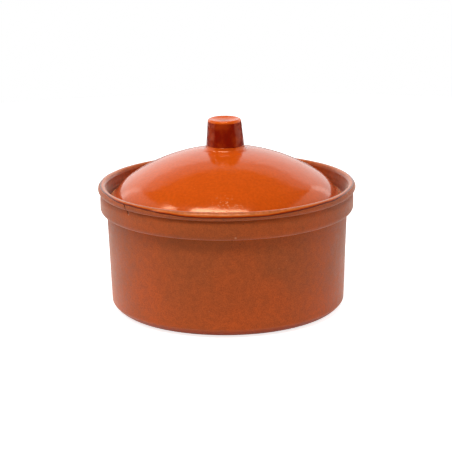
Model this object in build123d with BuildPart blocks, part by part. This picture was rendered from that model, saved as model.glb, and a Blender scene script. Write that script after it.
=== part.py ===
from build123d import *

import math
import os

# A lidded terracotta casserole, in millimetres. The pot is a straight-sided round body with a
# collar band under its rolled lip. Inside the lip a ledge, the gallery, carries the domed lid.
# The knob is a piece of its own, luted on to a low collar at the crown of the dome.
# Every piece is a body of revolution about Z. The origin is the centre of the base, on the
# surface that the pot stands on, and +Z is up.

# Pot, outside. Radii step inwards from the rim, and heights of the band are below the rim.
rim_radius = 110.0
rim_height = 108.6
lip_round = 3.4
lip_overhang = 1.75
neck_inset = 0.95
ridge_drop = 10.5
band_drop = 19.4
band_projection = 5.45
band_underside_rise = 4.0
wall_draft = 2.84
foot_height = 7.6
foot_chamfer_width = 11.4
foot_bulge = 1.7

# Pot, inside and underneath.
wall_thickness = 7.5
floor_thickness = 7.0
floor_corner_round = 14.0
recess_depth = 1.5
recess_slope_width = 2.0
foot_ring_width = 12.0
gallery_depth = 14.2
gallery_draft = 1.6
gallery_corner_round = 0.8
gallery_edge_round = 1.2

# Lid. The dome's outer and inner skins are two pairs of concentric arcs.
flange_clearance = 2.3
flange_thickness = 3.2
flange_ledge = 2.6
flange_edge_round = 1.6
flange_corner_round = 0.8
flange_ledge_round = 0.4
brim_thickness = 1.3
brim_width = 2.6
brim_rise = 1.7
brim_edge_round = 0.7
brim_root_round = 4.0
dome_rise = 37.5
dome_foot_slope = 32.5
shoulder_radius = 46.0
lid_thickness = 6.0
ring_clearance = 1.6
ring_depth = 5.0
ring_width = 6.0
ring_edge_round = 1.5
ring_root_round = 5.0

# Knob, with the hollow core that lets its clay dry and fire as evenly as the dome does.
knob_base_radius = 16.2
knob_top_radius = 14.1
knob_height = 22.5
knob_collar_fillet = 4.5
knob_edge_round = 2.0
knob_dish_radius = 11.7
knob_dish_depth = 2.0
knob_dish_edge_round = 1.0
core_radius = 7.5
core_height = 11.0
core_end_round = 3.0

# Radii and heights that follow from those sizes.
band_radius = rim_radius - lip_overhang
neck_radius = band_radius - neck_inset
wall_top_radius = band_radius - band_projection
wall_foot_radius = wall_top_radius - wall_draft
base_radius = wall_foot_radius - foot_chamfer_width
recess_edge_radius = base_radius - foot_ring_width
lip_centre_radius = rim_radius - lip_round
gallery_radius = lip_centre_radius - lip_round - gallery_draft
mouth_radius = wall_top_radius - wall_thickness
floor_radius = wall_foot_radius - wall_thickness
lip_centre_height = rim_height - lip_round
ridge_height = rim_height - ridge_drop
band_foot_height = rim_height - band_drop
wall_top_height = band_foot_height - band_underside_rise
seat_height = rim_height - gallery_depth
floor_height = recess_depth + floor_thickness

flange_radius = gallery_radius - flange_clearance
flange_top_height = seat_height + flange_thickness
ring_outer_radius = mouth_radius - ring_clearance
ring_inner_radius = ring_outer_radius - ring_width
ring_foot_height = seat_height - ring_depth
brim_radius = flange_radius - flange_ledge
brim_edge_height = flange_top_height + brim_thickness
dome_foot_radius = brim_radius - brim_width
dome_foot_height = brim_edge_height + brim_rise


def on_circle(centre, radius, degrees):
    """The point of a circle at an angle that is measured up from the radial direction."""
    angle = math.radians(degrees)
    return centre[0] + radius * math.cos(angle), centre[1] + radius * math.sin(angle)


def height_on_circle(centre, radius, distance):
    """The height of a circle's upper half at a distance from the Z axis."""
    return centre[1] + math.sqrt(radius**2 - (distance - centre[0]) ** 2)


def arc_between(centre, radius, first, last):
    """The arc about a centre from one angle to another, in degrees."""
    CenterArc(centre, radius, min(first, last), abs(last - first))


def round_corner(sketch, corner, radius):
    """Rounds the corner of a section that lies nearest to a point."""
    fillet(sketch.vertices().sort_by_distance((corner[0], corner[1], 0))[0], radius=radius)


# The shoulder arc leaves the brim at the foot's slope. The crown arc has its centre on the
# axis, reaches the dome's full rise and runs tangent into the shoulder.
shoulder_centre = (
    dome_foot_radius - shoulder_radius * math.cos(math.radians(dome_foot_slope)),
    dome_foot_height - shoulder_radius * math.sin(math.radians(dome_foot_slope)),
)
apex_height = dome_foot_height + dome_rise
apex_over_shoulder = apex_height - shoulder_centre[1]
crown_radius = (shoulder_centre[0] ** 2 + apex_over_shoulder**2 - shoulder_radius**2) / (
    2 * (apex_over_shoulder - shoulder_radius)
)
crown_centre = (0.0, apex_height - crown_radius)
shoulder_angle = math.degrees(
    math.atan2(shoulder_centre[1] - crown_centre[1], shoulder_centre[0])
)

# The fillet at the knob's collar touches the crown arc and the collar's upright side.
fillet_centre_radius = knob_base_radius + knob_collar_fillet
collar_height = height_on_circle(
    crown_centre, crown_radius + knob_collar_fillet, fillet_centre_radius
)
fillet_centre = (fillet_centre_radius, collar_height)
crown_end_angle = math.degrees(
    math.atan2(collar_height - crown_centre[1], fillet_centre_radius)
)
knob_top_height = collar_height + knob_height

# The dome's inner skin, from the core hole out to the root of the locating ring.
inner_crown_radius = crown_radius - lid_thickness
inner_shoulder_radius = shoulder_radius - lid_thickness
core_mouth_height = height_on_circle(crown_centre, inner_crown_radius, core_radius)
core_mouth_angle = math.degrees(math.acos(core_radius / inner_crown_radius))
ring_root_height = height_on_circle(shoulder_centre, inner_shoulder_radius, ring_inner_radius)
ring_root_angle = math.degrees(
    math.atan2(
        ring_root_height - shoulder_centre[1], ring_inner_radius - shoulder_centre[0]
    )
)


# Pot: foot, wall, collar band, rolled lip, gallery and cooking cavity in one turned body.
neck_angle = math.degrees(math.acos((neck_radius - lip_centre_radius) / lip_round))
neck_top = on_circle((lip_centre_radius, lip_centre_height), lip_round, -neck_angle)

with BuildPart() as pot:
    with BuildSketch(Plane.XZ) as pot_section:
        with BuildLine():
            Polyline(
                (0, floor_height),
                (0, recess_depth),
                (recess_edge_radius - recess_slope_width, recess_depth),
                (recess_edge_radius, 0),
                (base_radius, 0),
            )
            SagittaArc((wall_foot_radius, foot_height), (base_radius, 0), foot_bulge)
            Line((wall_foot_radius, foot_height), (wall_top_radius, wall_top_height))
            TangentArc(
                (band_radius, band_foot_height),
                (wall_top_radius, wall_top_height),
                tangent=(0, -1),
            )
            Polyline((band_radius, band_foot_height), (band_radius, ridge_height), neck_top)
            arc_between((lip_centre_radius, lip_centre_height), lip_round, -neck_angle, 180)
            Polyline(
                (lip_centre_radius - lip_round, lip_centre_height),
                (gallery_radius, seat_height),
                (mouth_radius, seat_height),
                (floor_radius, floor_height),
                (0, floor_height),
            )
        make_face()
        round_corner(pot_section, (gallery_radius, seat_height), gallery_corner_round)
        round_corner(pot_section, (mouth_radius, seat_height), gallery_edge_round)
        round_corner(pot_section, (floor_radius, floor_height), floor_corner_round)
    revolve(axis=Axis.Z)

# Lid: dome, knob collar, narrow brim, seating flange, and the locating ring that drops into
# the mouth of the pot.
with BuildPart() as lid:
    with BuildSketch(Plane.XZ) as lid_section:
        with BuildLine():
            Polyline(
                (ring_inner_radius, ring_root_height),
                (ring_inner_radius, ring_foot_height),
                (ring_outer_radius, ring_foot_height),
                (ring_outer_radius, seat_height),
                (flange_radius, seat_height),
                (flange_radius, flange_top_height),
                (brim_radius, flange_top_height),
                (brim_radius, brim_edge_height),
                (dome_foot_radius, dome_foot_height),
            )
            arc_between(shoulder_centre, shoulder_radius, dome_foot_slope, shoulder_angle)
            arc_between(crown_centre, crown_radius, shoulder_angle, crown_end_angle)
            arc_between(fillet_centre, knob_collar_fillet, 180, 180 + crown_end_angle)
            Polyline(
                (knob_base_radius, collar_height),
                (core_radius, collar_height),
                (core_radius, core_mouth_height),
            )
            arc_between(crown_centre, inner_crown_radius, core_mouth_angle, shoulder_angle)
            arc_between(shoulder_centre, inner_shoulder_radius, shoulder_angle, ring_root_angle)
        make_face()
        round_corner(lid_section, (flange_radius, flange_top_height), flange_edge_round)
        round_corner(lid_section, (flange_radius, seat_height), flange_corner_round)
        round_corner(lid_section, (brim_radius, flange_top_height), flange_ledge_round)
        round_corner(lid_section, (brim_radius, brim_edge_height), brim_edge_round)
        round_corner(lid_section, (dome_foot_radius, dome_foot_height), brim_root_round)
        round_corner(lid_section, (ring_outer_radius, ring_foot_height), ring_edge_round)
        round_corner(lid_section, (ring_inner_radius, ring_foot_height), ring_edge_round)
        round_corner(lid_section, (ring_inner_radius, ring_root_height), ring_root_round)
    revolve(axis=Axis.Z)

# Knob: a tapered stub with a dished top, hollow from below in line with the hole in the dome.
with BuildPart() as lid_knob:
    with BuildSketch(Plane.XZ) as knob_section:
        with BuildLine():
            TangentArc(
                (0, knob_top_height - knob_dish_depth),
                (knob_dish_radius, knob_top_height),
                tangent=(1, 0),
            )
            Polyline(
                (knob_dish_radius, knob_top_height),
                (knob_top_radius, knob_top_height),
                (knob_base_radius, collar_height),
                (core_radius, collar_height),
                (core_radius, collar_height + core_height),
                (0, collar_height + core_height),
                (0, knob_top_height - knob_dish_depth),
            )
        make_face()
        round_corner(knob_section, (knob_top_radius, knob_top_height), knob_edge_round)
        round_corner(knob_section, (knob_dish_radius, knob_top_height), knob_dish_edge_round)
        round_corner(knob_section, (core_radius, collar_height + core_height), core_end_round)
    revolve(axis=Axis.Z)

pot.part.label = "pot"
lid.part.label = "lid"
lid_knob.part.label = "lid_knob"

os.makedirs("parts", exist_ok=True)
for piece in (pot, lid, lid_knob):
    export_step(piece.part, f"parts/{piece.part.label}.step")
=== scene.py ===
import math

import bmesh
import bpy
import numpy as np
from mathutils import Matrix, Vector, noise


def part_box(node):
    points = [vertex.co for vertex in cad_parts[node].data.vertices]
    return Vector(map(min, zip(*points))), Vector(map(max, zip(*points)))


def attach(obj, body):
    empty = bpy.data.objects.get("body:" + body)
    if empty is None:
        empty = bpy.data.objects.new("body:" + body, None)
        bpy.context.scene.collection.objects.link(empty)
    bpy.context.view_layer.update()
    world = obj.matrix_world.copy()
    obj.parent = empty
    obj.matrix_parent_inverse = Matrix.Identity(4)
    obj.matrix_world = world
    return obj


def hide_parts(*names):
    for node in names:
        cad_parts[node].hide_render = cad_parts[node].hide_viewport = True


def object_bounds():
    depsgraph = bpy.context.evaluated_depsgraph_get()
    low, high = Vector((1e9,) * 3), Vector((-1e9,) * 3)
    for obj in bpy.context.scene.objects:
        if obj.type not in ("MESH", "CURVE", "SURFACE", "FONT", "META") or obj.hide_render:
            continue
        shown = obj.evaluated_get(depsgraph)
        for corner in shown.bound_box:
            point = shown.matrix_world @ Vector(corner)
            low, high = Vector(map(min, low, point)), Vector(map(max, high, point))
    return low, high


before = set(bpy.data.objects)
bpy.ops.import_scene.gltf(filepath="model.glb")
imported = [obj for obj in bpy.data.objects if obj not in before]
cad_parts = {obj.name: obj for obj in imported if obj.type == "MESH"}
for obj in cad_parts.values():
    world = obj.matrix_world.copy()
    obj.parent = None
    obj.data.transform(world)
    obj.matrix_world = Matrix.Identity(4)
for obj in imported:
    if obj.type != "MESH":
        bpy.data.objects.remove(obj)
cad_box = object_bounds()

# A lidded terracotta casserole on a white studio table: bare clay outside, honey glaze inside
# and on the lid. Lengths are in metres unless a name says otherwise. Directions round the pot
# are in degrees from its front, which faces -Y, and grow towards +X.
MM = 0.001

# Camera: a long lens that looks along +Y and down on the pot.
CAMERA_DISTANCE = 1.713
CAMERA_ELEVATION = 14.76
CAMERA_ROLL = 0.73
CAMERA_LENS_MM = 158.9
CAMERA_SENSOR_MM = 36
AIM_SHARE_OF_HEIGHT = 0.4248
AIM_ASIDE = -1.0 * MM

# Turned meshes: columns round the axis, and the rows that the section outline is cut into. A
# corner's bend is averaged over BEND_WIDTH, so that its mark reaches the rows beside it.
COLUMNS = 248
KNOB_COLUMNS = 144
SAME_POINT = 0.03 * MM
OUTLINE_GRID = 0.002 * MM
ROW_TURN = 7.0
SHARP_TURN = 15.0
EDGE_ROUND = 0.5 * MM
FINE_ROW = 0.55 * MM
WALL_ROW = 1.3 * MM
PLAIN_ROW = 3.0 * MM
LID_ROW = 2.0 * MM
KNOB_ROW = 0.9 * MM
BEND_WIDTH = 0.6 * MM

# Sizes of the surface relief.
OUT_OF_ROUND = 0.28 * MM
WIDEST_DIRECTION = 25
WAVE_HEIGHT = 0.10 * MM
RIPPLE_HEIGHT = 0.03 * MM
TURNING_HEIGHT = 0.035 * MM
LIP_WAVE = 0.14 * MM
KNOB_DENTS = 0.16 * MM
KNOB_RIPPLE = 0.05 * MM
KNOB_LEAN = 0.5 * MM
LID_ASIDE = -0.8 * MM

# The glaze's edge on the lip: how thick the glaze is there, how far below the lip's widest
# point it runs in front, how far it wanders, and how far it climbs towards the sides.
GLAZE_THICKNESS = 0.22 * MM
GLAZE_EDGE_BELOW_LIP = 0.6 * MM
GLAZE_EDGE_WANDER = 0.30 * MM
GLAZE_EDGE_RIPPLE = 0.15 * MM
EDGE_CLIMB = 4.2 * MM
BEAD_FROM_EDGE = 0.5 * MM
BEAD_WIDTH = 0.55 * MM

# The firing crack at the lip: its points as (direction, height below the rim), its section, and
# the chip at its lower end.
CRACK = (
    (-50.9, 0.2 * MM),
    (-50.3, 1.8 * MM),
    (-49.7, 4.3 * MM),
    (-49.7, 7.6 * MM),
    (-48.8, 9.5 * MM),
)
CRACK_HALF_WIDTH = 0.55 * MM
CRACK_DEPTH = 0.9 * MM
CRACK_WANDER = 0.12 * MM
CRACK_CHIP_RADIUS = 1.1 * MM
CRACK_CHIP_DEPTH = 0.35 * MM

# Small chips: (direction, height below the rim, radius, depth).
CHIPS = (
    (3.5, 21.2 * MM, 1.2 * MM, 0.5 * MM),
    (10.6, 20.6 * MM, 0.8 * MM, 0.25 * MM),
    (67.4, 1.6 * MM, 0.9 * MM, 0.25 * MM),
)
# Windows of finer columns: (direction, half width, step), in degrees.
FINE_COLUMNS = ((-49.8, 2.0, 0.13), (3.5, 0.9, 0.2), (67.4, 0.6, 0.2))


# ---------------------------------------------------------------- section outlines

def crossing(a, b, height):
    """The point between a and b where Y has the given value, as (radius, Z)."""
    t = (height - a[1]) / (b[1] - a[1])
    p = a + t * (b - a)
    return p[0], p[2]


def outline_links(node):
    """Joins the points where a turned CAD node's triangles cross the XZ plane."""
    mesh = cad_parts[node].data
    mesh.calc_loop_triangles()
    points = np.array([v.co for v in mesh.vertices])
    just_off_seam = 0.001 * MM
    side = points[:, 1] > just_off_seam
    links = {}
    for triangle in mesh.loop_triangles:
        ids = list(triangle.vertices)
        cuts = [
            crossing(points[i], points[j], just_off_seam)
            for i, j in zip(ids, ids[1:] + ids[:1])
            if side[i] != side[j]
        ]
        if len(cuts) < 2 or min(cuts[0][0], cuts[1][0]) < 0:
            continue
        one, other = [tuple(round(x / OUTLINE_GRID) for x in cut) for cut in cuts]
        if one != other:
            links.setdefault(one, set()).add(other)
            links.setdefault(other, set()).add(one)
    return links


def cad_outline(node):
    """A turned CAD node's section as points (radius, Z), the clay on the left hand of the way.

    It starts low and goes outwards. A section that meets the axis starts and ends on it.
    """
    links = outline_links(node)
    ends = [k for k, near in links.items() if len(near) == 1]
    here = min(ends or links, key=lambda k: (k[1], k[0]))
    if not ends:
        here = min(links, key=lambda k: (k[1], -k[0]))
    path, seen = [here], {here}
    while True:
        onward = [k for k in links[here] if k not in seen]
        if not onward:
            break
        here = max(onward, key=lambda k: k[0]) if len(path) == 1 else onward[0]
        path.append(here)
        seen.add(here)
    points = np.array(path, float) * OUTLINE_GRID
    if ends:
        points = np.vstack([(0, points[0][1]), points, (0, points[-1][1])])
    return thin_out(points), not ends


def thin_out(points):
    """Drops points that repeat their neighbour."""
    kept = [points[0]]
    for p in points[1:-1]:
        if np.linalg.norm(p - kept[-1]) > SAME_POINT:
            kept.append(p)
    if np.linalg.norm(points[-1] - kept[-1]) <= SAME_POINT:
        kept.pop()
    kept.append(points[-1])
    return np.array(kept)


def turned_corner(before, here, after):
    """The points of a parabola that turns one corner of an outline."""
    into, onto = here - before, after - here
    short = min(np.linalg.norm(into), np.linalg.norm(onto))
    into, onto = into / np.linalg.norm(into), onto / np.linalg.norm(onto)
    turn = math.degrees(math.acos(np.clip(into @ onto, -1, 1)))
    reach = min(short / 2, EDGE_ROUND) if turn > SHARP_TURN else short / 2
    start, end = here - into * reach, here + onto * reach
    steps = max(1, math.ceil(turn / ROW_TURN))
    shares = [k / steps for k in range(steps + 1)]
    return [(1 - t) ** 2 * start + 2 * t * (1 - t) * here + t * t * end for t in shares]


def smooth_rows(points, closed, row_gap):
    """The outline with rounded corners, cut into rows no further apart than row_gap(point)."""
    count = len(points)
    rows = []
    for i, here in enumerate(points):
        if not closed and i in (0, count - 1):
            rows.append(here)
        else:
            rows += turned_corner(points[i - 1], here, points[(i + 1) % count])
    if closed:
        rows.append(rows[0])
    filled = [rows[0]]
    for after in rows[1:]:
        before = filled[-1]
        gap = np.linalg.norm(after - before)
        if gap < SAME_POINT:
            continue
        steps = math.ceil(gap / row_gap((before + after) / 2))
        filled += [before + (after - before) * k / steps for k in range(1, steps + 1)]
    if closed:
        filled.pop()
    return np.array(filled)


class Section:
    """An outline's rows, each with its place, normal, length from the start and bend."""

    def __init__(self, node, row_gap):
        points, self.closed = cad_outline(node)
        self.rows = smooth_rows(points, self.closed, row_gap)
        if self.closed:
            before, after = np.roll(self.rows, 1, 0), np.roll(self.rows, -1, 0)
        else:
            before = np.vstack([self.rows[:1], self.rows[:-1]])
            after = np.vstack([self.rows[1:], self.rows[-1:]])
        way = after - before
        way /= np.linalg.norm(way, axis=1)[:, None]
        self.normal = np.column_stack([way[:, 1], -way[:, 0]])
        steps = np.linalg.norm(np.diff(self.rows, axis=0), axis=1)
        self.length = np.concatenate([[0], np.cumsum(steps)])
        heading = np.unwrap(np.arctan2(way[:, 1], way[:, 0]))
        self.bend = self.spread(np.gradient(heading, self.length), BEND_WIDTH)

    def spread(self, values, width):
        """Values averaged along the outline, so that a tight corner marks its surroundings."""
        away = (self.length[:, None] - self.length[None, :]) / width
        weight = np.exp(-away**2) * np.gradient(self.length)[None, :]
        return weight @ values / weight.sum(1)


# ---------------------------------------------------------------- turned meshes

def column_angles(count, windows=()):
    """Directions of the columns, in degrees: even, but closer together inside the windows."""
    even = np.linspace(-180, 180, count, endpoint=False)
    for centre, half, step in windows:
        even = even[abs(even - centre) > half + step]
        even = np.concatenate([even, np.arange(centre - half, centre + half, step)])
    return np.sort(even)


def grid_places(section, angles, outward=0.0, aside=None):
    """Every vertex of a turned mesh: rows by columns by XYZ, moved outward along the normal."""
    turn = np.radians(angles)[None, :]
    radius = section.rows[:, 0][:, None] + section.normal[:, 0][:, None] * outward
    height = section.rows[:, 1][:, None] + section.normal[:, 1][:, None] * outward
    radius = np.broadcast_to(radius, (len(section.rows), len(angles)))
    height = np.broadcast_to(height, radius.shape)
    return np.stack([radius * np.sin(turn), -radius * np.cos(turn), height], axis=2)


def lathe_faces(row_count, column_count, closed):
    """Quads between neighbouring rows and columns. The columns always close up."""
    faces = []
    for i in range(row_count if closed else row_count - 1):
        low, high = i * column_count, (i + 1) % row_count * column_count
        for j in range(column_count):
            k = (j + 1) % column_count
            faces.append((low + j, low + k, high + k, high + j))
    return faces


def lathe(name, section, places, marks):
    """A mesh object from a grid of places. A row on the axis becomes a single point.

    marks are named values, one for each vertex, which the material reads.
    """
    rows, columns = places.shape[:2]
    mesh = bpy.data.meshes.new(name)
    mesh.from_pydata(places.reshape(-1, 3), [], lathe_faces(rows, columns, section.closed))
    for mark, values in marks.items():
        layer = mesh.attributes.new(mark, "FLOAT", "POINT")
        full = np.broadcast_to(values, (rows, columns)).astype(np.float32)
        layer.data.foreach_set("value", full.ravel())
    piece = bpy.data.objects.new(name, mesh)
    bpy.context.scene.collection.objects.link(piece)
    join_axis_points(mesh)
    mesh.shade_smooth()
    return piece


def join_axis_points(mesh):
    """Welds the vertices that a row on the axis has put in one place."""
    work = bmesh.new()
    work.from_mesh(mesh)
    middle = [v for v in work.verts if v.co.xy.length < SAME_POINT / 3]
    bmesh.ops.remove_doubles(work, verts=middle, dist=SAME_POINT)
    work.to_mesh(mesh)
    work.free()


# ---------------------------------------------------------------- relief

def noise_at(places, size, seed):
    """Smooth noise from -1 to 1, with features of about the given size."""
    offset = Vector((seed * 17.3, seed * 5.1, seed * 29.7))
    flat = [noise.noise(Vector(p) / size + offset) for p in places.reshape(-1, 3)]
    return np.array(flat).reshape(places.shape[:2])


def rise(x, low, high):
    """0 below low, 1 above high, smooth between."""
    t = np.clip((x - low) / (high - low), 0, 1)
    return t * t * (3 - 2 * t)


def directions(places):
    """The direction of each place round the axis, in degrees."""
    return np.degrees(np.arctan2(places[:, :, 0], -places[:, :, 1]))


def dent(places, direction, below_rim, radius, rim):
    """1 at the middle of a round mark and 0 outside it. The mark is given by its place on the pot."""
    reach = np.hypot(places[:, :, 0], places[:, :, 1])
    side = np.radians(directions(places) - direction) * reach
    away = np.hypot(side, places[:, :, 2] - (rim - below_rim)) / radius
    return np.clip(1 - away**2, 0, 1)


def crack_mark(places, rim):
    """1 in the middle of the crack's groove and 0 beside it."""
    below = rim - places[:, :, 2]
    path_direction = np.interp(below, [depth for _, depth in CRACK], [way for way, _ in CRACK])
    reach = np.hypot(places[:, :, 0], places[:, :, 1])
    wander = CRACK_WANDER * noise_at(places, 1.3 * MM, 4)
    side = abs(np.radians(directions(places) - path_direction) * reach + wander)
    outside = rise(reach, 0.93 * reach.max(), 0.95 * reach.max())
    foot = CRACK[-1][1]
    ends = rise(below, -0.4 * MM, 0.6 * MM) * (1 - rise(below, 8.9 * MM, 9.8 * MM))
    width = CRACK_HALF_WIDTH * (1.15 - 0.5 * below / foot)
    return np.clip(1 - side / np.maximum(width, 0.1 * MM), 0, 1) * outside * ends


def glaze_edge(places, past_lip, angles):
    """How far each vertex lies past the glaze's edge, along the section. Bare clay is below 0."""
    wander = GLAZE_EDGE_WANDER * noise_at(places, 9 * MM, 2)
    wander = wander + GLAZE_EDGE_RIPPLE * noise_at(places, 2.5 * MM, 3)
    aside = abs(np.sin(np.radians(angles)))[None, :]
    climb = 0.55 * rise(aside, 0.25, 0.75) + 0.45 * rise(aside, 0.8, 0.96)
    return past_lip + wander - EDGE_CLIMB * climb


def clay_relief(section, places, glazed):
    """How far the potter's hand and the glaze move each vertex of the pot outward."""
    rim = section.rows[:, 1].max()
    height = section.rows[:, 1][:, None]
    facing = section.normal[:, 1][:, None]
    bare = 1 - rise(glazed, -0.2 * MM, 0.2 * MM)
    outward = WAVE_HEIGHT * noise_at(places, 28 * MM, 5) + RIPPLE_HEIGHT * noise_at(places, 6 * MM, 6)
    lines = np.array([noise.noise(Vector((z / (1.9 * MM), 3.7, 0))) for z in section.rows[:, 1]])
    outward = outward + TURNING_HEIGHT * lines[:, None] * bare
    outward = outward * (1 - 0.9 * rise(abs(facing), 0.9, 0.98))
    near_lip = rise(height, rim - 9 * MM, rim - 3 * MM)
    outward = outward + LIP_WAVE * near_lip * noise_at(places, 22 * MM, 7)
    bead = np.exp(-((glazed - BEAD_FROM_EDGE) / BEAD_WIDTH) ** 2)
    return outward + GLAZE_THICKNESS * ((1 - bare) + 0.5 * bead) * near_lip


def pot_relief(section, angles):
    """How far each vertex of the pot is moved outward, and the marks for its material."""
    places = grid_places(section, angles)
    rim = section.rows[:, 1].max()
    lip = int(section.rows[:, 0].argmax())
    past_lip = (section.length - section.length[lip] + GLAZE_EDGE_BELOW_LIP)[:, None]
    glazed = glaze_edge(places, past_lip, angles)
    crack = crack_mark(places, rim)
    outward = clay_relief(section, places, glazed) - CRACK_DEPTH * crack
    chip = dent(places, *CRACK[-1], CRACK_CHIP_RADIUS, rim)
    outward = outward - CRACK_CHIP_DEPTH * chip
    for direction, below_rim, radius, depth in CHIPS:
        mark = dent(places, direction, below_rim, radius, rim)
        outward = outward - depth * mark
        chip = np.maximum(chip, mark)
    marks = {
        "glaze_mm": glazed / MM,
        "inside_mm": past_lip / MM,
        "bend_mm": (section.bend * MM)[:, None],
        "crack": crack,
        "chip": chip,
    }
    return outward, marks


def pot_row_gap(p):
    """Rows are close at the lip and band, wider on the walls, and widest on the flat parts."""
    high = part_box("pot")[1]
    if p[1] > high.z - 26 * MM:
        return FINE_ROW if p[0] > 0.9 * high.x else WALL_ROW
    return WALL_ROW if p[0] > 0.86 * high.x else PLAIN_ROW


def make_pot():
    section = Section("pot", pot_row_gap)
    angles = column_angles(COLUMNS, FINE_COLUMNS)
    outward, marks = pot_relief(section, angles)
    places = grid_places(section, angles, outward)
    oval = 1 + OUT_OF_ROUND / cad_box[1].x * np.cos(2 * np.radians(angles - WIDEST_DIRECTION))[None, :]
    places[:, :, :2] *= oval[:, :, None]
    places[:, :, 2] = np.maximum(places[:, :, 2], 0)
    return lathe("pot_body", section, places, marks)


def make_lid():
    section = Section("lid", lambda p: LID_ROW)
    angles = column_angles(COLUMNS)
    places = grid_places(section, angles)
    top = section.normal[:, 1][:, None]
    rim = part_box("pot")[1].z
    shown = rise(section.rows[:, 1], rim - 7 * MM, rim)[:, None]
    waves = WAVE_HEIGHT * noise_at(places, 26 * MM, 11)
    waves = waves + RIPPLE_HEIGHT * noise_at(places, 7 * MM, 12)
    ring_lines = np.array([noise.noise(Vector((r / (2.6 * MM), 8.1, 0))) for r in section.rows[:, 0]])
    outward = waves * shown * rise(abs(top), 0.0, 0.3)
    outward = outward + TURNING_HEIGHT * ring_lines[:, None] * shown * (top < 0)
    # The relief fades out under the knob, so that no gap opens round its base.
    near_knob = 1 - rise(section.rows[:, 0], 19 * MM, 24 * MM)[:, None]
    outward = outward * (1 - near_knob)
    collar = 1 - rise(section.rows[:, 0], 16.6 * MM, 17.5 * MM)[:, None]
    places = grid_places(section, angles, outward)
    places[:, :, 0] += LID_ASIDE
    marks = {"bend_mm": (section.bend * MM)[:, None] * (1 - collar)}
    return lathe("lid_dome", section, places, marks)


def make_knob():
    section = Section("lid_knob", lambda p: KNOB_ROW)
    angles = column_angles(KNOB_COLUMNS)
    places = grid_places(section, angles)
    low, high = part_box("lid_knob")
    up = rise(section.rows[:, 1], low.z + 1 * MM, low.z + 8 * MM)[:, None]
    outside = rise(section.rows[:, 0], 8 * MM, 10 * MM)[:, None]
    dents = KNOB_DENTS * noise_at(places, 11 * MM, 21)
    dents = dents + KNOB_RIPPLE * noise_at(places, 3.5 * MM, 22)
    places = grid_places(section, angles, dents * up * np.maximum(outside, 0.4))
    lean = KNOB_LEAN * (places[:, :, 2] - low.z) / (high.z - low.z)
    places[:, :, 0] += LID_ASIDE - lean
    marks = {"bend_mm": (section.bend * MM)[:, None] * up}
    return lathe("knob", section, places, marks)


# ---------------------------------------------------------------- finishes

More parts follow.
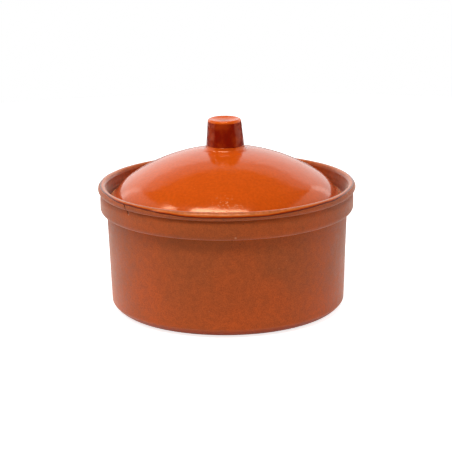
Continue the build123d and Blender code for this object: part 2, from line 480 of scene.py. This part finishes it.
class Finish:
    """One material's node tree, with short calls for the nodes that the finishes use."""

    def __init__(self, name):
        self.material = bpy.data.materials.new(name)
        self.material.use_nodes = True
        self.tree = self.material.node_tree
        self.tree.nodes.clear()
        self.place = self.add("ShaderNodeTexCoord").outputs["Object"]

    def add(self, kind, **settings):
        node = self.tree.nodes.new(kind)
        for name, value in settings.items():
            setattr(node, name, value)
        return node

    def feed(self, socket, value):
        """Links a socket to another node's output, or sets it to a plain value."""
        if isinstance(value, bpy.types.NodeSocket):
            self.tree.links.new(value, socket)
        else:
            socket.default_value = value

    def math(self, operation, a, b=0.0, c=0.0, clamp=False):
        node = self.add("ShaderNodeMath", operation=operation, use_clamp=clamp)
        for socket, given in zip(node.inputs, (a, b, c)):
            self.feed(socket, given)
        return node.outputs[0]

    def noise(self, size, detail=2.0, stretch=(1, 1, 1)):
        """Noise from 0 to 1 with features of about the given size."""
        where = self.add("ShaderNodeMapping")
        self.feed(where.inputs["Vector"], self.place)
        where.inputs["Scale"].default_value = stretch
        node = self.add("ShaderNodeTexNoise")
        self.feed(node.inputs["Vector"], where.outputs[0])
        node.inputs["Scale"].default_value = 1 / size
        node.inputs["Detail"].default_value = detail
        return node.outputs["Fac"]

    def spots(self, spacing, radius, share):
        """1 inside small round spots, one in some of the cells, and 0 elsewhere."""
        node = self.add("ShaderNodeTexVoronoi")
        self.feed(node.inputs["Vector"], self.place)
        node.inputs["Scale"].default_value = 1 / spacing
        cell = self.add("ShaderNodeSeparateColor")
        self.feed(cell.inputs[0], node.outputs["Color"])
        chosen = self.math("LESS_THAN", cell.outputs[0], share)
        size = self.math("MULTIPLY_ADD", cell.outputs[1], radius / spacing, 0.4 * radius / spacing)
        depth = self.math("DIVIDE", node.outputs["Distance"], size)
        return self.math("MULTIPLY", self.span(depth, 1.0, 0.6), chosen)

    def span(self, value, low, high, to_low=0.0, to_high=1.0):
        """Maps low..high to to_low..to_high and stays inside those."""
        node = self.add("ShaderNodeMapRange", interpolation_type="SMOOTHSTEP")
        for socket, given in zip(node.inputs, (value, low, high, to_low, to_high)):
            self.feed(socket, given)
        return node.outputs[0]

    def blend(self, share, a, b):
        """Colour a where share is 0 and colour b where it is 1."""
        node = self.add("ShaderNodeMix", data_type="RGBA")
        self.feed(node.inputs["Factor"], share)
        for socket, colour in ((node.inputs[6], a), (node.inputs[7], b)):
            self.feed(socket, colour if isinstance(colour, bpy.types.NodeSocket) else (*colour, 1))
        return node.outputs[2]

    def scale_colour(self, colour, factor):
        node = self.add("ShaderNodeVectorMath", operation="SCALE")
        self.feed(node.inputs[0], colour)
        self.feed(node.inputs["Scale"], factor)
        return node.outputs[0]

    def mark(self, name):
        return self.add("ShaderNodeAttribute", attribute_name=name).outputs["Fac"]

    def near(self, point, radius):
        """1 at a point, falling to 0 at a radius from it."""
        away = self.add("ShaderNodeVectorMath", operation="DISTANCE")
        self.feed(away.inputs[0], self.place)
        away.inputs[1].default_value = point
        return self.span(away.outputs["Value"], radius, 0.3 * radius)

    def height(self, low, high):
        """0 below one height and 1 above another."""
        node = self.add("ShaderNodeSeparateXYZ")
        self.feed(node.inputs[0], self.place)
        return self.span(node.outputs["Z"], low, high)

    def bump(self, height, depth, normal=None):
        node = self.add("ShaderNodeBump")
        node.inputs["Strength"].default_value = 1.0
        node.inputs["Distance"].default_value = depth
        self.feed(node.inputs["Height"], height)
        if normal is not None:
            self.feed(node.inputs["Normal"], normal)
        return node.outputs[0]

    def surface(self, colour, roughness, normal, shine, tint, dust=0.0):
        """The finished material. Dust is the pale bloom at the edge of bare clay."""
        shader = self.add("ShaderNodeBsdfPrincipled")
        self.feed(shader.inputs["Base Color"], colour)
        self.feed(shader.inputs["Roughness"], roughness)
        self.feed(shader.inputs["Normal"], normal)
        shader.inputs["IOR"].default_value = GLAZE_IOR
        shader.inputs["Specular IOR Level"].default_value = shine
        shader.inputs["Specular Tint"].default_value = (*tint, 1)
        shader.inputs["Sheen Weight"].default_value = dust
        shader.inputs["Sheen Roughness"].default_value = DUST_ROUGHNESS
        shader.inputs["Sheen Tint"].default_value = (*DUST_COLOUR, 1)
        output = self.add("ShaderNodeOutputMaterial")
        self.feed(output.inputs["Surface"], shader.outputs[0])
        return self.material


GLAZE_IOR = 1.5
DUST_ROUGHNESS = 0.35

# Colours of the finishes, as linear red, green and blue.
DUST_COLOUR = (1.0, 0.84, 0.72)
WARM_TINT = (1.0, 0.60, 0.36)
KNOB_TINT = (1.0, 0.36, 0.16)
CLAY_ORANGE = (0.47, 0.072, 0.010)
CLAY_BROWN = (0.345, 0.066, 0.014)
CLAY_WORN = (0.56, 0.16, 0.06)
CLAY_CHIP = (0.60, 0.27, 0.15)
# Painted shade for the pot's foot, where it meets the table.
FOOT_PAINTED_SHADE = (0.30, 0.034, 0.003)
IRON = (0.055, 0.014, 0.008)
# Painted shade for the inside of the crack.
CRACK_PAINTED_SHADE = (0.035, 0.008, 0.004)
GLAZE_HONEY = (0.65, 0.088, 0.004)
GLAZE_RED = (0.50, 0.047, 0.002)
GLAZE_THIN = (0.62, 0.22, 0.045)
# Pale glaze flecks, and the painted reflection on the lid's pimply patch.
GLAZE_FLECK_AND_GLINT = (0.80, 0.30, 0.12)
# The knob's dark red: partly thicker glaze, partly painted shade on its sides.
GLAZE_KNOB_THICK_AND_SHADED = (0.22, 0.006, 0.0005)
# The knob's lighter glaze: thin glaze on its edges and in patches, and painted light on its top.
GLAZE_KNOB_THIN_AND_TOP_LIT = (0.70, 0.10, 0.006)
# The dark line at the glaze's edge: pooled glaze, darkened further with painted shade under the bead.
GLAZE_POOL_AND_SHADE = (0.10, 0.008, 0.001)
GLAZE_EDGE = (0.42, 0.040, 0.001)
GLAZE_BEAD = (0.62, 0.14, 0.018)
GLAZE_LIP = (0.52, 0.125, 0.035)
# Glaze down the inside wall: partly a browner glaze, partly painted shade in the gap under the lid.
GLAZE_INNER_WITH_SHADE = (0.30, 0.042, 0.002)


def place_on(radius, direction, height):
    """The point at a radius, direction and height."""
    turn = math.radians(direction)
    return radius * math.sin(turn), -radius * math.cos(turn), height


def clay_layer(m):
    """Colour, roughness and height of the bare clay."""
    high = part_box("pot")[1]
    blotch = m.noise(45 * MM, 3.0)
    # The clay turns more orange towards the foot of the wall: partly the clay's own firing tone,
    # partly painted light from the white floor's bounce.
    lower_wall = m.height(high.z * 0.62, high.z * 0.08)
    orange_tone_and_bounce = m.math("MULTIPLY", lower_wall, 0.6, clamp=True)
    orange_tone_and_bounce = m.math("ADD", orange_tone_and_bounce, m.span(blotch, 0.35, 0.7, -0.15, 0.45), clamp=True)
    colour = m.blend(orange_tone_and_bounce, CLAY_BROWN, CLAY_ORANGE)
    grain = m.noise(0.9 * MM, 2.0)
    mottle = m.noise(4.5 * MM, 3.0)
    fine_tone = m.span(grain, 0.25, 0.75, 0.80, 1.16)
    broad_tone = m.span(mottle, 0.3, 0.7, -0.09, 0.09)
    colour = m.scale_colour(colour, m.math("ADD", fine_tone, broad_tone))
    worn = m.span(m.mark("bend_mm"), 0.15, 1.2, 0.0, 0.45)
    colour = m.blend(worn, colour, CLAY_WORN)
    pale = m.spots(3.2 * MM, 0.26 * MM, 0.10)
    colour = m.blend(m.math("MULTIPLY", pale, 0.5), colour, CLAY_CHIP)
    cluster = m.near(place_on(high.x, 3, high.z - 15 * MM), 24 * MM)
    crowded = m.math("MULTIPLY", m.spots(3.1 * MM, 0.62 * MM, 0.42), cluster)
    iron = m.math("MAXIMUM", m.spots(7.5 * MM, 0.55 * MM, 0.11), crowded)
    colour = m.blend(m.math("MULTIPLY", iron, 0.95), colour, IRON)
    # Painted shade: below about 7 mm the foot is darkened to a saturated orange, as if shaded by the
    # table and lit by clay-coloured bounce.
    colour = m.blend(m.height(7.4 * MM, 5.0 * MM), colour, FOOT_PAINTED_SHADE)
    colour = m.blend(m.math("MULTIPLY", m.mark("chip"), 0.75, clamp=True), colour, CLAY_CHIP)
    # Painted shade: the crack's groove is painted near-black.
    colour = m.blend(m.span(m.mark("crack"), 0.02, 0.35), colour, CRACK_PAINTED_SHADE)
    rough = m.span(mottle, 0.3, 0.7, 0.44, 0.60)
    relief = m.math("ADD", m.math("MULTIPLY", grain, 0.5), m.math("MULTIPLY", iron, -0.8))
    return colour, rough, relief


def glaze_layer(m):
    """Colour, roughness and height of the honey glaze."""
    drift = m.noise(38 * MM, 2.0)
    colour = m.blend(m.span(drift, 0.35, 0.65), GLAZE_RED, GLAZE_HONEY)
    colour = m.blend(m.span(drift, 0.2, 0.8, 0.0, 0.5), GLAZE_HONEY, colour)
    mottle = m.noise(2.2 * MM, 3.0)
    colour = m.scale_colour(colour, m.span(mottle, 0.3, 0.7, 0.93, 1.06))
    bend = m.mark("bend_mm")
    colour = m.blend(m.span(bend, 0.1, 0.6, 0.0, 0.85), colour, GLAZE_THIN)
    colour = m.blend(m.span(bend, -0.05, -0.5, 0.0, 0.7), colour, GLAZE_RED)
    flecks = m.spots(2.4 * MM, 0.22 * MM, 0.22)
    colour = m.blend(m.math("MULTIPLY", flecks, 0.35), colour, GLAZE_FLECK_AND_GLINT)
    iron = m.spots(9 * MM, 0.30 * MM, 0.10)
    colour = m.blend(m.math("MULTIPLY", iron, 0.6), colour, IRON)
    rough = m.span(m.noise(17 * MM, 2.0), 0.3, 0.7, 0.12, 0.19)
    relief = m.math("ADD", m.noise(5.5 * MM, 1.0), m.math("MULTIPLY", flecks, 0.25))
    return colour, rough, relief


def pot_finish():
    """Bare clay outside and honey glaze inside, with an uneven edge between them at the lip."""
    m = Finish("clay_and_glaze")
    clay, clay_rough, clay_height = clay_layer(m)
    _, glaze_rough, glaze_height = glaze_layer(m)
    past_edge = m.mark("glaze_mm")
    glazed = m.span(past_edge, -0.12, 0.12)
    # The glaze darkens down the inside wall: partly a browner glaze, partly painted shade in the gap
    # under the lid.
    glaze = m.blend(m.span(m.mark("inside_mm"), 7.0, 9.5), GLAZE_LIP, GLAZE_INNER_WITH_SHADE)
    glaze = m.scale_colour(glaze, m.span(m.noise(3.5 * MM, 3.0), 0.3, 0.7, 0.82, 1.15))
    glaze = m.blend(m.span(past_edge, 2.7, 2.1), glaze, GLAZE_BEAD)
    glaze = m.blend(m.span(past_edge, 1.9, 1.5), glaze, GLAZE_EDGE)
    # The dark line just above the glaze's edge: partly pooled glaze, partly painted shade under the
    # bead.
    glaze = m.blend(m.span(past_edge, 1.15, 0.7), glaze, GLAZE_POOL_AND_SHADE)
    colour = m.blend(glazed, clay, glaze)
    roughness = m.span(glazed, 0, 1, clay_rough, glaze_rough)
    bare = m.math("SUBTRACT", 1.0, glazed)
    normal = m.bump(m.math("MULTIPLY", clay_height, bare), 0.10 * MM)
    normal = m.bump(m.math("MULTIPLY", glaze_height, glazed), 0.10 * MM, normal)
    return m.surface(colour, roughness, normal, 0.35, WARM_TINT, 0.4)


def lid_finish():
    """Honey glaze, with a pimply patch low on the front of the dome. The patch's pimples are painted
    pale: a painted reflection of the light above.
    """
    m = Finish("honey_glaze")
    colour, roughness, relief = glaze_layer(m)
    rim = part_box("pot")[1]
    patch = m.near(place_on(0.80 * rim.x, -1, rim.z - 1.5 * MM), 17 * MM)
    pimples = m.spots(2.0 * MM, 0.8 * MM, 0.75)
    pimples_and_glint = m.math("MULTIPLY", patch, pimples)
    # Painted reflection: the pimples in the patch are painted pale, as the light above would show in
    # them.
    colour = m.blend(m.math("MULTIPLY", pimples_and_glint, 0.35), colour, GLAZE_FLECK_AND_GLINT)
    normal = m.bump(relief, 0.08 * MM)
    normal = m.bump(pimples_and_glint, 0.10 * MM, normal)
    return m.surface(colour, roughness, normal, 0.6, WARM_TINT)


def knob_finish():
    """The same glaze, redder, with more orange peel. Its sides are dark red, partly thicker glaze and
    partly painted shade; its top is painted lighter, as painted light from above.
    """
    m = Finish("knob_glaze")
    _, roughness, relief = glaze_layer(m)
    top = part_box("lid_knob")[1].z
    bent = m.span(m.mark("bend_mm"), 0.03, 0.3)
    # Painted light: the knob's top gets the lighter glaze colour, as do its thin edges.
    thin_and_lit_top = m.math("MAXIMUM", bent, m.height(top - 2.6 * MM, top - 1.2 * MM))
    patchy = m.span(m.noise(9 * MM, 3.0), 0.35, 0.7, 0.0, 0.30)
    colour = m.blend(m.math("MAXIMUM", thin_and_lit_top, patchy), GLAZE_KNOB_THICK_AND_SHADED, GLAZE_KNOB_THIN_AND_TOP_LIT)
    normal = m.bump(relief, 0.14 * MM)
    return m.surface(colour, roughness, normal, 0.8, KNOB_TINT)


# ---------------------------------------------------------------- studio

ROOM_GREY = 0.08
FLOOR_RADIUS = 0.95
FLOOR_SIDES = 64
FLOOR_GREY = 0.78
FLOOR_GLOW = 0.25
FLOOR_GLOW_SEEN = 0.8


def soft_box(name, centre, facing, width, height, radiance):
    """A rectangular light of even brightness. A radiance of 1 shows as plain white."""
    light = bpy.data.lights.new(name, "AREA")
    light.shape = "RECTANGLE"
    light.size = width
    light.size_y = height
    light.energy = radiance * math.pi * width * height
    lamp = bpy.data.objects.new(name, light)
    lamp.visible_camera = False
    bpy.context.scene.collection.objects.link(lamp)
    away = Vector(centre) - Vector(facing)
    turn = away.to_track_quat("Z", "Y").to_matrix().to_4x4()
    lamp.matrix_world = Matrix.Translation(centre) @ turn


def make_world():
    """White behind the object, and a dim room for everything that the object reflects."""
    world = bpy.data.worlds.new("studio")
    bpy.context.scene.world = world
    world.use_nodes = True
    tree = world.node_tree
    tree.nodes.clear()
    path = tree.nodes.new("ShaderNodeLightPath")
    room = tree.nodes.new("ShaderNodeMix")
    room.data_type = "RGBA"
    room.inputs[6].default_value = (ROOM_GREY, ROOM_GREY, ROOM_GREY, 1)
    room.inputs[7].default_value = (1, 1, 1, 1)
    background = tree.nodes.new("ShaderNodeBackground")
    output = tree.nodes.new("ShaderNodeOutputWorld")
    tree.links.new(path.outputs["Is Camera Ray"], room.inputs["Factor"])
    tree.links.new(room.outputs[2], background.inputs["Color"])
    tree.links.new(background.outputs[0], output.inputs["Surface"])


def make_floor():
    """A white table top. Its own glow keeps it plain white, and it can't be seen from below."""
    points = [place_on(FLOOR_RADIUS, 90 + 360 * k / FLOOR_SIDES, 0) for k in range(FLOOR_SIDES)]
    mesh = bpy.data.meshes.new("floor")
    mesh.from_pydata(points, [], [list(range(FLOOR_SIDES))])
    floor = bpy.data.objects.new("floor", mesh)
    bpy.context.scene.collection.objects.link(floor)
    m = Finish("white_table")
    white = m.add("ShaderNodeBsdfDiffuse")
    white.inputs["Color"].default_value = (FLOOR_GREY, FLOOR_GREY, FLOOR_GREY, 1)
    glow = m.add("ShaderNodeEmission")
    seen = m.add("ShaderNodeLightPath").outputs["Is Camera Ray"]
    m.feed(glow.inputs["Strength"], m.span(seen, 0, 1, FLOOR_GLOW, FLOOR_GLOW_SEEN))
    both = m.add("ShaderNodeAddShader")
    m.feed(both.inputs[0], white.outputs[0])
    m.feed(both.inputs[1], glow.outputs[0])
    clear = m.add("ShaderNodeBsdfTransparent")
    sides = m.add("ShaderNodeMixShader")
    m.feed(sides.inputs[0], m.add("ShaderNodeNewGeometry").outputs["Backfacing"])
    m.feed(sides.inputs[1], both.outputs[0])
    m.feed(sides.inputs[2], clear.outputs[0])
    m.feed(m.add("ShaderNodeOutputMaterial").inputs["Surface"], sides.outputs[0])
    mesh.materials.append(m.material)


def make_lights():
    """White panels behind and beside the pot, and two small bright ones above it, front and left."""
    soft_box("low_back_panel", (0, 2.5, 1.0), (0, 0, 1.0), 4.4, 2.0, 0.6)
    soft_box("tall_back_panel", (0, 2.6, 1.6), (0, 0, 1.6), 4.8, 3.2, 0.5)
    for side in (-1, 1):
        soft_box("side_panel", (1.25 * side, 0.65, 0.66), (0, 0.65, 0.66), 2.2, 1.25, 1.0)
    soft_box("key_panel", (-0.117, -0.57, 1.2), (0, 0, 0.1), 0.96, 0.24, 18)
    soft_box("small_panel", (-0.985, -0.16, 1.2), (0, 0, 0.1), 0.2, 0.26, 14)


def make_camera():
    """Looks along +Y and down on the pot."""
    low, high = cad_box
    aim = Vector((AIM_ASIDE, 0, low.z + AIM_SHARE_OF_HEIGHT * (high.z - low.z)))
    tilt, roll = math.radians(CAMERA_ELEVATION), math.radians(CAMERA_ROLL)
    back = Vector((0, -math.cos(tilt), math.sin(tilt)))
    level_right = Vector((1, 0, 0))
    level_up = back.cross(level_right)
    right = math.cos(roll) * level_right - math.sin(roll) * level_up
    up = math.sin(roll) * level_right + math.cos(roll) * level_up
    camera = bpy.data.objects.new("camera", bpy.data.cameras.new("camera"))
    camera.data.lens = CAMERA_LENS_MM
    camera.data.sensor_width = CAMERA_SENSOR_MM
    turn = Matrix((right, up, back)).transposed().to_4x4()
    camera.matrix_world = Matrix.Translation(aim + CAMERA_DISTANCE * back) @ turn
    bpy.context.scene.collection.objects.link(camera)
    bpy.context.scene.camera = camera


# ---------------------------------------------------------------- the whole scene

make_camera()
make_world()
make_floor()
make_lights()
bpy.context.scene.view_settings.view_transform = "Standard"

pot = make_pot()
pot.data.materials.append(pot_finish())
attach(pot, "pot")
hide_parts("pot")

lid = make_lid()
lid.data.materials.append(lid_finish())
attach(lid, "lid")
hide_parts("lid")

knob = make_knob()
knob.data.materials.append(knob_finish())
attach(knob, "lid")
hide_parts("lid_knob")
